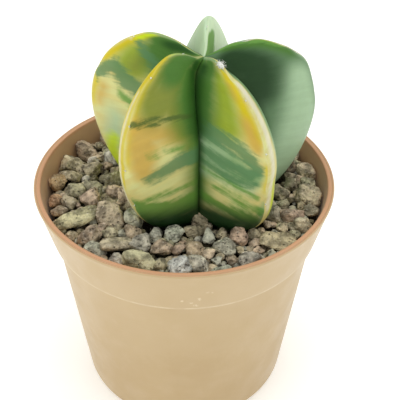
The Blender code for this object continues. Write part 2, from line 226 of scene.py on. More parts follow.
def relief(tree, shader, height, depth):
    """Bumps of this depth in metres, on the shader."""
    bump = add_node(tree, "Bump", None, {"Height": height, "Distance": depth})
    tree.links.new(bump.outputs["Normal"], shader.inputs["Normal"])


# The height of a painted highlight along the edge of the collar's step, and the pale colour of that
# highlight and of the real scuffs
STEP_HIGHLIGHT_HEIGHT = 44.9
HIGHLIGHT_AND_SCUFF_COLOUR = seen_as(232, 218, 186)
SCUFF_FRONT = -30.5
# The x, z and size of each small scuff on the front of the collar
SCUFFS = (
    (-0.6, 47.7, 0.3), (2.7, 48.2, 0.4), (4.2, 50.4, 0.45), (5.2, 50.1, 0.3), (2.1, 46.0, 0.4),
    (1.2, 47.0, 0.25),
)


def step_highlight_and_scuffs(tree, place, height):
    """How far the plastic is painted pale: a broken line of painted highlight over the step, and small
    scuffs of real wear.
    """
    # A broken line of painted highlight along the step's edge
    off_line = maths(tree, "ABSOLUTE", maths(tree, "SUBTRACT", height, STEP_HIGHLIGHT_HEIGHT * MM), 0.0)
    on_line = ramp(tree, off_line, 0.12 * MM, 0.34 * MM, 1.0, 0.0)
    broken = ramp(tree, clouds(tree, place, 3 * MM, 5), 0.35, 0.65, 0.08, 0.4)
    highlight_and_scuffs = maths(tree, "MULTIPLY", on_line, broken)
    for x, z, size in SCUFFS:
        centre = (x * MM, SCUFF_FRONT * MM, z * MM)
        away = add_node(
            tree, "VectorMath", {"operation": "DISTANCE"}, {0: place, 1: centre}).outputs["Value"]
        near = ramp(tree, away, size * MM, 1.6 * size * MM, 0.5, 0.0)
        ragged = ramp(tree, clouds(tree, place, 0.5 * MM, 3), 0.42, 0.52)
        highlight_and_scuffs = maths(tree, "MAXIMUM", highlight_and_scuffs, maths(tree, "MULTIPLY", near, ragged))
    return highlight_and_scuffs


def plastic(name, light, dark, roughness, lip_shade_share):
    """Moulded plastic with faint flow clouds, paler towards the top, a lip painted browner as shade, a
    painted highlight along the step, worn scuffs and specks, and a fine pebble.
    """
    finish, tree, shader, place = bare_finish(name, roughness)
    flow = ramp(tree, clouds(tree, place, 14 * MM), 0.35, 0.65)
    colour = blend(tree, flow, light, dark)
    haze = ramp(tree, clouds(tree, place, 4 * MM, 5), 0.5, 0.72, 0.0, 0.05)
    colour = blend(tree, haze, colour, seen_as(226, 208, 176))
    height = add_node(tree, "SeparateXYZ", None, {0: place}).outputs["Z"]
    paler = ramp(tree, height, 12 * MM, 52 * MM, 0.0, 0.35)
    colour = blend(tree, paler, colour, seen_as(208, 186, 148))
    # Near the lip, the given share paints the plastic a redder brown as shade
    on_lip = ramp(tree, height, 54.8 * MM, 55.4 * MM, 0.0, lip_shade_share)
    colour = blend(tree, on_lip, colour, seen_as(212, 138, 98))
    # Painted highlight along the step, and real scuffs
    colour = blend(tree, step_highlight_and_scuffs(tree, place, height), colour, HIGHLIGHT_AND_SCUFF_COLOUR)
    drawn_out = add_node(tree, "Mapping", None, {"Vector": place, "Scale": (1, 1, 0.35)}).outputs[0]
    specks = add_node(tree, "TexVoronoi", None, {"Vector": drawn_out, "Scale": 95, "Randomness": 1.0})
    near_speck = ramp(tree, specks.outputs["Distance"], 0.03, 0.07, 1.0, 0.0)
    handled = ramp(tree, clouds(tree, place, 18 * MM, 2), 0.52, 0.62)
    rubbed = maths(tree, "MULTIPLY", maths(tree, "MULTIPLY", near_speck, handled), 0.6)
    colour = blend(tree, rubbed, colour, seen_as(238, 226, 200))
    tree.links.new(colour, shader.inputs["Base Color"])
    dulled = ramp(tree, clouds(tree, place, 6 * MM), 0.3, 0.7, roughness - 0.06, roughness + 0.08)
    tree.links.new(dulled, shader.inputs["Roughness"])
    shader.inputs["Sheen Weight"].default_value = 0.12
    shader.inputs["Sheen Roughness"].default_value = 0.4
    relief(tree, shader, clouds(tree, place, 0.7 * MM, 2), 0.012 * MM)
    return finish


pot.data.materials.clear()
pot.data.materials.append(
    plastic("tan plastic outside", seen_as(184, 158, 114), seen_as(180, 153, 108), 0.42, 0.0))
pot.data.materials.append(
    plastic("tan plastic with painted inside shade", seen_as(188, 140, 99), seen_as(179, 130, 90), 0.5, 0.35))
# The second finish is the same plastic painted darker and more orange for the inside and the lip, as
# painted shade and bounce light
INSIDE_FOOT = 1.9
HALF_WALL = 0.5
HALF_COLLAR_WALL = 0.6
LIP_EDGE = 32.3
for face in pot.data.polygons:
    middle = face.center / MM
    reach = math.hypot(middle.x, middle.y)
    wall_middle = body_radius(middle.z) - HALF_WALL
    if middle.z > COLLAR_FOOT:
        wall_middle = collar_radius(middle.z) - HALF_COLLAR_WALL
    inside = middle.z > INSIDE_FOOT and reach < wall_middle
    on_lip = middle.z > POT_HEIGHT - 0.1 and reach < LIP_EDGE
    face.material_index = 1 if inside or on_lip else 0
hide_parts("pot")
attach(pot, "root")

# The potting mix fills the pot up to the dressing. It is a dark mineral mix of peat, grit and
# pumice dust, and shows only through the drain holes.

potting_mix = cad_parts["potting_mix"]
finish, tree, shader, place = bare_finish("potting mix", 0.95, 0.2)
colour = blend(tree, ramp(tree, clouds(tree, place, 2.2 * MM, 6), 0.35, 0.65),
               seen_as(66, 52, 40), seen_as(104, 86, 66))
grit = ramp(tree, clouds(tree, place, 0.8 * MM, 2), 0.62, 0.68)
colour = blend(tree, grit, colour, seen_as(168, 154, 130))
tree.links.new(colour, shader.inputs["Base Color"])
relief(tree, shader, clouds(tree, place, 1.2 * MM, 6), 0.5 * MM)
potting_mix.data.materials.clear()
potting_mix.data.materials.append(finish)

# The top dressing is loose pumice and lava: rough, porous stones of 2 to 11 mm with finer grit
# and dust between them, poured on and levelled 3.5 mm below the lip. The large ones lie where
# the photograph shows them.

GRAVEL_LEVEL = POT_HEIGHT - 3.5
STONE_LEVEL = GRAVEL_LEVEL - 1.4
PLANT_AXIS = Vector((3.8, 1.7))
RIB_TURNS = (230.8, 302.8, 14.8, 84.0, 158.8)
HALF_RIB_TURN = 180 / len(RIB_TURNS)
GROOVE_REACH = 11.5
CREST_REACH = 19.5
CREST_BLUNTNESS = 0.6
# x, y, length, width and height in mm, turn in degrees, shape and colour
LARGE_STONES = [
    (-22.8, -11.3, 10.8, 4.8, 2.8, 29, "slab", "sand"),
    (-15.6, -9.9, 7.8, 5.7, 4.2, -17, "block", "brown"),
    (-13.7, -19.1, 8.2, 4.3, 3, 22, "slab", "olive"),
    (-8.8, -23.6, 7.4, 5.5, 4, -14, "lump", "olive"),
    (-1.2, -25.2, 5.3, 4.8, 4, -11, "lump", "white"),
    (-28.4, 1.6, 4.4, 4.1, 3.8, 11, "lump", "rust"),
    (-27.9, -4, 3.7, 3.4, 2.8, 6, "lump", "rust"),
    (-26.4, -8.2, 3.5, 3.2, 3, 0, "lump", "brown"),
    (18.9, -17.9, 8.6, 5.7, 2.4, -14, "slab", "sand"),
    (27, -3.2, 7.1, 5.2, 4, -40, "lump", "brown"),
    (22.8, -9.9, 5.6, 4.8, 4, 8, "lump", "pink"),
    (27, -8.4, 3.8, 3.6, 3.2, -19, "lump", "olive"),
    (24.6, -12.8, 4.5, 3.9, 3.4, 35, "lump", "olive"),
    (12.8, -23.4, 5.1, 5, 4.2, -24, "lump", "grey"),
    (8.1, -19.6, 5.1, 4.3, 3.2, -20, "lump", "grey"),
    (-26.4, 9.4, 6.4, 5, 4, -17, "lump", "olive"),
    (-25.4, 3.9, 5.5, 4.1, 3, -19, "lump", "brown"),
    (-21.2, 6.8, 5.1, 4.1, 3.2, -16, "lump", "brown"),
    (-20.4, 0.6, 5.6, 3.9, 2.8, -28, "block", "olive"),
    (-22.8, 14.3, 7.4, 5.2, 3.8, -37, "lump", "pink"),
    (-4.6, -20.4, 4.8, 4.1, 3.4, -22, "lump", "pink"),
    (2.8, -24.6, 5.7, 3.9, 3, -7, "lump", "grey"),
    (28, 6, 6.5, 4.8, 3.8, -68, "lump", "brown"),
    (1.9, -20.2, 4.9, 3.9, 3.2, -60, "lump", "pink"),
]
STONE_COLOURS = {
    "olive": seen_as(178, 169, 140),
    "brown": seen_as(176, 164, 136),
    "sand": seen_as(186, 174, 143),
    "pink": seen_as(188, 169, 144),
    "grey": seen_as(182, 180, 161),
    "rust": seen_as(192, 162, 126),
    "dark": seen_as(124, 115, 91),
    "shadowed": seen_as(72, 65, 46),
    "white": seen_as(208, 213, 200),
}
COMMON_COLOURS = ("olive", "brown", "olive", "pink", "brown", "sand", "grey", "dark")
FRONT_COLOURS = ("grey", "brown", "grey", "pink", "olive", "grey", "brown", "pink")
LOWER_COLOURS = ("shadowed", "shadowed", "dark", "shadowed")
FRONT_STONES = -15
STONE_CLEARANCE = 1.3
COLLAR_THICKENING = 0.5


def inner_wall(height):
    """The radius in mm that stones inside the pot keep to at this height."""
    if height > COLLAR_FOOT:
        collar_share = (height - COLLAR_FOOT) / COLLAR_HEIGHT
        return collar_radius(height) - STONE_CLEARANCE - COLLAR_THICKENING * collar_share
    return body_radius(height) - STONE_CLEARANCE


def flank_share(across):
    """How far out a flank stands from groove to crest, at this share of the way to the groove."""
    top = math.hypot(1, CREST_BLUNTNESS)
    return (top - math.hypot(across, CREST_BLUNTNESS)) / (top - CREST_BLUNTNESS)


def plant_reach(x, y):
    """How far the plant reaches towards this point at the gravel, and how far off the point is."""
    offset = Vector((x, y)) - PLANT_AXIS
    turn = math.degrees(math.atan2(offset.y, offset.x))
    nearest = min(abs((turn - rib_turn + 180) % 360 - 180) for rib_turn in RIB_TURNS)
    share = flank_share(min(nearest / HALF_RIB_TURN, 1.0))
    return GROOVE_REACH + (CREST_REACH - GROOVE_REACH) * share, offset.length


def lay_stones(rng, laid, sizes, crowding, plant_gap):
    """Adds stones by rule to those that are laid, each clear of the plant and of its neighbours.

    Sizes holds each length with its number of tries. The crowding and the gap to the plant are
    shares of a stone's size.
    """
    for length, tries in sizes:
        for _ in range(tries):
            size = length * rng.uniform(0.85, 1.2)
            outer = inner_wall(GRAVEL_LEVEL) - 0.42 * size
            distance = outer * math.sqrt(rng.random())
            turn = rng.uniform(0, 2 * math.pi)
            x, y = distance * math.cos(turn), distance * math.sin(turn)
            reach, from_axis = plant_reach(x, y)
            width, height = size * rng.uniform(0.7, 0.95), size * rng.uniform(0.6, 0.85)
            lie = rng.uniform(0, 180)
            if from_axis < reach + plant_gap * size:
                continue
            if any(math.hypot(x - other[0], y - other[1])
                   < crowding * (size + 0.5 * (other[2] + other[3])) for other in laid):
                continue
            laid.append((x, y, size, width, height, lie))


STONE_VOXEL = 0.14
lumps = bpy.data.textures.new("stone lumps", "CLOUDS")
lumps.noise_scale = 0.6
lumps.noise_depth = 3
pores = bpy.data.textures.new("stone pores", "VORONOI")
pores.noise_scale = 0.26
pores.distance_metric = "DISTANCE"


def stone_shape(index, cuts, cut_depth, roughening=0.0):
    """A stone in a box of 2 units: a ball, broken flat along a few planes, then weathered."""
    rng = random.Random(500 + index)
    away = Vector((4.0 * index, 0, 0))
    bpy.ops.mesh.primitive_ico_sphere_add(
        subdivisions=4 if roughening else 2, radius=1.0, location=away)
    shape = bpy.context.object
    bpy.ops.object.transform_apply(location=True, rotation=True, scale=True)
    bpy.ops.object.mode_set(mode="EDIT")
    for _ in range(cuts):
        way = Vector([rng.gauss(0, 1) for _ in range(3)]).normalized()
        bpy.ops.mesh.select_all(action="SELECT")
        bpy.ops.mesh.bisect(
            plane_co=away + way * rng.uniform(*cut_depth), plane_no=way,
            use_fill=True, clear_outer=True)
    bpy.ops.object.mode_set(mode="OBJECT")
    if roughening:
        skin = shape.modifiers.new("weathered skin", "REMESH")
        skin.mode = "VOXEL"
        skin.voxel_size = STONE_VOXEL
        lump = shape.modifiers.new("lumps", "DISPLACE")
        lump.texture = lumps
        lump.strength = 0.5 * roughening
        lump.mid_level = 0.5
        pore = shape.modifiers.new("pores", "DISPLACE")
        pore.texture = pores
        pore.strength = 0.2 * roughening
        pore.mid_level = 0.55
        apply_all(shape)
    shape.data.transform(Matrix.Translation(-away))
    sides = zip(*[vert.co for vert in shape.data.vertices])
    spans = [(min(side), max(side)) for side in sides]
    middle = Vector([(low + high) / 2 for low, high in spans])
    fit = Matrix.Diagonal((*[2 / (high - low) for low, high in spans], 1.0))
    shape.data.transform(fit @ Matrix.Translation(-middle))
    shape.data.shade_smooth()
    return shape


# Of each kind of stone: how many shapes there are, how many planes break a shape, how far those
# lie from its middle, and how much it is weathered
STONE_KINDS = {
    "lump": (9, 11, (0.45, 0.8), 0.6),
    "block": (3, 8, (0.5, 0.7), 0.5),
    "slab": (2, 9, (0.5, 0.8), 0.5),
}
stone_shapes = {}
for number, (kind, (count, cuts, cut_depth, roughening)) in enumerate(STONE_KINDS.items()):
    stone_shapes[kind] = [
        stone_shape(10 * number + i, cuts, cut_depth, roughening) for i in range(count)
    ]
grain_shapes = [stone_shape(40 + i, 3, (0.6, 0.9)) for i in range(6)]


def lay_stone(rng, shape, place, rise, colour):
    """A copy of the shape, tilted a little, on its place in the pot and kept inside the wall."""
    x, y, length, width, height, turn = place
    lie = (
        Matrix.Translation(Vector((x, y, rise)))
        @ Matrix.Rotation(math.radians(turn), 4, "Z")
        @ Matrix.Rotation(math.radians(rng.uniform(-14, 14)), 4, "X")
        @ Matrix.Rotation(math.radians(rng.uniform(-12, 12)), 4, "Y")
        @ Matrix.Diagonal((length / 2, width / 2, height / 2, 1.0))
        @ Matrix.Rotation(rng.uniform(-0.5, 0.5), 4, "Z")
    )
    mesh = shape.data.copy()
    mesh.transform(lie)
    for vert in mesh.vertices:
        from_middle = math.hypot(vert.co.x, vert.co.y)
        if from_middle > inner_wall(vert.co.z):
            vert.co.xy *= inner_wall(vert.co.z) / from_middle
    mesh.transform(Matrix.Diagonal((MM, MM, MM, 1.0)))
    shade = rng.uniform(0.82, 1.16)
    own = [shade * rng.uniform(0.96, 1.04) * part for part in colour[:3]] + [1.0]
    paint = mesh.color_attributes.new("stone_colour", "FLOAT_COLOR", "POINT")
    for corner in paint.data:
        corner.color = own
    stone = bpy.data.objects.new("stone", mesh)
    bpy.context.scene.collection.objects.link(stone)
    return stone


def joined(name, parts, finish):
    """The parts made one piece with this finish."""
    bpy.ops.object.select_all(action="DESELECT")
    for part in parts:
        part.select_set(True)
    bpy.context.view_layer.objects.active = parts[0]
    bpy.ops.object.join()
    piece = bpy.context.object
    piece.name = name
    piece.data.materials.clear()
    piece.data.materials.append(finish)
    return piece


pumice, tree, shader, place = bare_finish("pumice", 0.92, 0.25)
own_colour = add_node(tree, "Attribute", {"attribute_name": "stone_colour"}).outputs["Color"]
mottle = ramp(tree, clouds(tree, place, 2.0 * MM, 5), 0.32, 0.68, 0.5, 1.75)
mottled = add_node(tree, "CombineColor", None, {0: mottle, 1: mottle, 2: mottle}).outputs[0]
colour = blend(tree, 1.0, own_colour, mottled, "MULTIPLY")
crystals = ramp(tree, clouds(tree, place, 0.5 * MM, 1), 0.66, 0.7, 0.0, 0.55)
colour = blend(tree, crystals, colour, seen_as(212, 206, 190))
bubbles = add_node(tree, "TexVoronoi", None, {"Vector": place, "Scale": 1250, "Randomness": 1.0})
bubbly = ramp(tree, clouds(tree, place, 1.3 * MM, 2), 0.46, 0.6)
uneven = maths(tree, "MULTIPLY", clouds(tree, place, 0.35 * MM, 2), 0.5)
ragged_bubble = maths(tree, "ADD", bubbles.outputs["Distance"], uneven)
open_bubble = maths(tree, "MULTIPLY", ramp(tree, ragged_bubble, 0.36, 0.6, 1.0, 0.0), bubbly)
# The open bubbles are painted dark, as the shade inside the pores
colour = blend(tree, maths(tree, "MULTIPLY", open_bubble, 0.35), colour, seen_as(52, 46, 34))
tree.links.new(colour, shader.inputs["Base Color"])
rough_height = maths(tree, "SUBTRACT", clouds(tree, place, 1.1 * MM, 10),
                     maths(tree, "MULTIPLY", open_bubble, 0.7))
relief(tree, shader, rough_height, 1.3 * MM)

# The stones that are seen: the large ones first, then smaller ones wherever there is room
stone_places = [row[:6] for row in LARGE_STONES]
lay_stones(random.Random(11), stone_places,
           ((5.0, 600), (4.2, 900), (3.3, 900), (2.5, 1200)), 0.41, 0.15)
stones = []
for index, row in enumerate(stone_places):
    rng = random.Random(1100 + index)
    rise = STONE_LEVEL + 0.22 * row[4] + rng.uniform(-0.2, 0.5)
    colours = FRONT_COLOURS if row[1] < FRONT_STONES else COMMON_COLOURS
    kind, colour = "lump", colours[index % len(colours)]
    if index < len(LARGE_STONES):
        kind, colour = LARGE_STONES[index][6:]
    shapes = stone_shapes[kind]
    shape = shapes[index % len(shapes)]
    stones.append(lay_stone(rng, shape, row, rise, STONE_COLOURS[colour]))
dressing = [joined("dressing_stones", stones, pumice)]

# A shadowed layer of stones under those, and fine grains in the gaps that are left
rng = random.Random(21)
lower_places, lower_stones = [], []
lay_stones(rng, lower_places, ((4.2, 1500), (3.2, 1500)), 0.36, -0.6)
for index, row in enumerate(lower_places):
    colour = STONE_COLOURS[LOWER_COLOURS[index % len(LOWER_COLOURS)]]
    rise = STONE_LEVEL - 2.0 + rng.uniform(-0.6, 0.5)
    shape = grain_shapes[index % len(grain_shapes)]
    lower_stones.append(lay_stone(rng, shape, row, rise, colour))
grain_places = list(stone_places)
lay_stones(rng, grain_places, ((2.2, 2500), (1.5, 3500)), 0.33, 0.05)
for index, row in enumerate(grain_places[len(stone_places):]):
    colours = FRONT_COLOURS if row[1] < FRONT_STONES else COMMON_COLOURS
    colour = STONE_COLOURS[colours[(3 * index) % len(colours)]]
    rise = STONE_LEVEL + rng.uniform(-0.7, 0.2)
    shape = grain_shapes[index % len(grain_shapes)]
    lower_stones.append(lay_stone(rng, shape, row, rise, colour))
dressing.append(joined("dressing_grit", lower_stones, pumice))

# A bed under the stones, painted near black as the shade deep in the gaps between them
BED_RADIUS = 29.0
BED_MIDDLE = 47.2
BED_THICKNESS = 3.0
bpy.ops.mesh.primitive_cylinder_add(
    vertices=96, radius=BED_RADIUS * MM, depth=BED_THICKNESS * MM,
    location=(0, 0, BED_MIDDLE * MM), end_fill_type="TRIFAN")
bed = bpy.context.object
bpy.ops.object.transform_apply(location=True, rotation=True, scale=True)
bpy.ops.object.mode_set(mode="EDIT")
bpy.ops.mesh.select_all(action="DESELECT")
bed_mesh = bmesh.from_edit_mesh(bed.data)
for face in bed_mesh.faces:
    face.select_set(face.normal.z > 0.9)
bmesh.update_edit_mesh(bed.data)
bpy.ops.mesh.subdivide(number_cuts=4)
bpy.ops.object.mode_set(mode="OBJECT")
rng = random.Random(31)
for vert in bed.data.vertices:
    if vert.co.z > BED_MIDDLE * MM and vert.co.xy.length < (BED_RADIUS - 0.1) * MM:
        vert.co.z += rng.uniform(-0.5, 0.5) * MM
# The bed's colour is painted shade, near black
gap_shade_paint = bed.data.color_attributes.new("stone_colour", "FLOAT_COLOR", "POINT")
for corner in gap_shade_paint.data:
    corner.color = seen_as(42, 37, 27)
dressing.append(joined("dressing_bed", [bed], pumice))
for piece in dressing:
    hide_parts("top_dressing")
    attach(piece, "root")
for shapes in (*stone_shapes.values(), grain_shapes):
    for shape in shapes:
        bpy.data.objects.remove(shape)

# The cactus is one body with five deep ribs, a sunken crown, and a short neck and taproot in the
# mix. Its waxy skin is variegated: yellow and cream tissue with green bands that run down and
# outwards from the grooves. Outlines are mm from the plant's axis and above the gravel.

CROWN_HEIGHT = 30.5
CREST_OUTLINE = [
    (3, -12), (11, -6.5), (18.0, -1.5), (22.2, 4.5), (24.8, 11), (25.5, 17), (24.3, 22.7),
    (21.3, 27.7), (17, 31.4), (11.6, 33.7), (6.5, 33.2), (2.6, 31.4), (0, CROWN_HEIGHT),
]
GROOVE_OUTLINE = [
    (3, -12), (8, -6.5), (11.2, -2), (13.2, 3), (14, 8.5), (13.8, 14), (12.8, 19),
    (10.8, 23.2), (8.0, 26.4), (5.0, 28.6), (2.8, 29.8), (1.2, 30.4), (0, CROWN_HEIGHT),
]
# How far a rib reaches at its foot and waist as a share of the outline, how far its shoulder
# rises and its upper corner stands out in mm, and where its areoles are along the crest
RIBS = [
    {"name": "left front", "foot": 0.955, "waist": 0.94, "shoulder": 0.9, "corner": 0.0,
     "areoles": (7, 17, 27, 36, 46)},
    {"name": "right front", "foot": 1.0, "waist": 0.885, "shoulder": -4.3, "corner": 0.0,
     "areoles": (5.8, 15, 26, 37.5)},
    {"name": "right back", "foot": 1.0, "waist": 0.985, "shoulder": -0.8, "corner": 1.3,
     "areoles": (9, 21, 32, 43)},
    {"name": "back", "foot": 1.0, "waist": 1.0, "shoulder": 0.0, "corner": 0.0,
     "areoles": (8, 19, 31, 42)},
    {"name": "left back", "foot": 1.0, "waist": 1.0, "shoulder": 0.0, "corner": 0.0,
     "areoles": (5, 15.5, 27, 38, 46)},
]
WAIST_HEIGHT = 17
FRONT_GROOVE_DRIFT = -1.3
FLANK_BULGE = 0.5
CREASE_DEPTH = 0.35
NOTCH_DEPTH = 0.35
NOTCH_LENGTH = 1.3
NOTCH_WIDTH = 0.09
LEVELS = len(CREST_OUTLINE) - 1
RINGS_PER_LEVEL = 16
ROOT_RINGS = 8
BODY_RINGS = ROOT_RINGS + LEVELS * RINGS_PER_LEVEL
BODY_SEGMENTS = 320


def smooth_line(outline):
    """A smooth curve through all the points of an outline, with a point for each ring."""
    points = [Vector(point) for point in outline]
    longer = [2 * points[0] - points[1]] + points + [2 * points[-1] - points[-2]]
    line = []
    for before, start, end, after in zip(longer, longer[1:], longer[2:], longer[3:]):
        for step in range(RINGS_PER_LEVEL):
            t = step / RINGS_PER_LEVEL
            line.append(0.5 * (
                2 * start + (end - before) * t + (2 * before - 5 * start + 4 * end - after) * t**2
                + (3 * start - before - 3 * end + after) * t**3
            ))
    return line + [points[-1]]


def ease(x):
    """0 below 0, 1 above 1, and smooth between."""
    x = min(max(x, 0.0), 1.0)
    return x * x * (3 - 2 * x)


def crest_point(rib, radius, height):
    """A rib's own crest, from the common outline's radius and height.

    Its foot gives way to its waist from 2 to 14 mm up, its corner is 29 mm up, and its shoulder
    rises from 10 to 28 mm. All this fades out towards the axis.
    """
    reach = rib["foot"] + (rib["waist"] - rib["foot"]) * ease((height - 2) / 12)
    own_radius = radius * (1 + (reach - 1) * ease((radius - 3) / 12))
    own_radius += rib["corner"] * math.exp(-(((height - 29) / 4) ** 2)) * ease((radius - 12) / 7)
    own_height = height + rib["shoulder"] * ease((height - 10) / 18) * ease((radius - 2) / 9)
    return own_radius, own_height


def plant_place(index, x, y, height):
    """A point given along and across a rib and above the gravel, in the pot's frame."""
    turn = math.radians(RIB_TURNS[index])
    return Vector((
        PLANT_AXIS.x + math.cos(turn) * x - math.sin(turn) * y,
        PLANT_AXIS.y + math.sin(turn) * x + math.cos(turn) * y,
        GRAVEL_LEVEL + height,
    ))


crest_spine = smooth_line(CREST_OUTLINE)
groove_spine = smooth_line(GROOVE_OUTLINE)


def crest_line(rib):
    """The crest's points from the crown down, each with its distance along the crest."""
    downwards = [Vector(crest_point(rib, *point)) for point in crest_spine][::-1]
    gone = 0.0
    points = []
    for before, point in zip(downwards[:1] + downwards, downwards):
        gone += (point - before).length
        points.append((gone, point))
    return points


crest_runs = [[gone for gone, _ in crest_line(rib)][::-1] for rib in RIBS]


def skin_point(index, side, across, ring):
    """The skin at this share of the way from a rib's crest to its groove, on this ring."""
    rib = RIBS[index]
    groove_radius, groove_height = groove_spine[ring]
    radius, height = crest_point(rib, *crest_spine[ring])
    gap = (RIB_TURNS[(index + side) % len(RIBS)] - RIB_TURNS[index] + 180) % 360 - 180
    half = math.radians(abs(gap)) / 2
    groove_x, groove_y = groove_radius * math.cos(half), groove_radius * math.sin(half)
    share = flank_share(across)
    x = groove_x + (radius - groove_x) * share
    y = groove_y * across
    # The flank bulges a little, and a fine crease runs down the groove
    bulge = FLANK_BULGE * math.sin(math.pi * across) * ease((radius - 4) / 10)
    outward = Vector((groove_y, radius - groove_x)).normalized()
    x, y = x + bulge * outward.x, y + bulge * outward.y
    x -= CREASE_DEPTH * ease((across - 0.95) / 0.05) * ease(groove_radius / 4)
    # The crest has a notch for each areole
    run = crest_runs[index][ring]
    notch = max(math.exp(-((run - areole) / NOTCH_LENGTH) ** 2) for areole in rib["areoles"])
    depth = NOTCH_DEPTH * notch * math.exp(-((across / NOTCH_WIDTH) ** 2)) * ease(run / 4)
    off_crest = (crest_spine[ring] - Vector((0, WAIST_HEIGHT))).normalized()
    x -= depth * off_crest.x
    height = groove_height + (height - groove_height) * share - depth * off_crest.y
    point = plant_place(index, x, side * y, height)
    # The groove between the front pair leans left towards its top
    if (index, side) in ((0, 1), (1, -1)):
        drift = ease(groove_radius / 5) * ease((groove_height - WAIST_HEIGHT) / 12)
        point.x += FRONT_GROOVE_DRIFT * drift * across**2
    return point


def root_ring(ring):
    """The radius of the neck and taproot on this ring, and its height above the gravel."""
    if ring == 0:
        return 0.0, -30.4
    return 0.9 + 0.3 * (ring - 1), -32.4 + 2.55 * ring
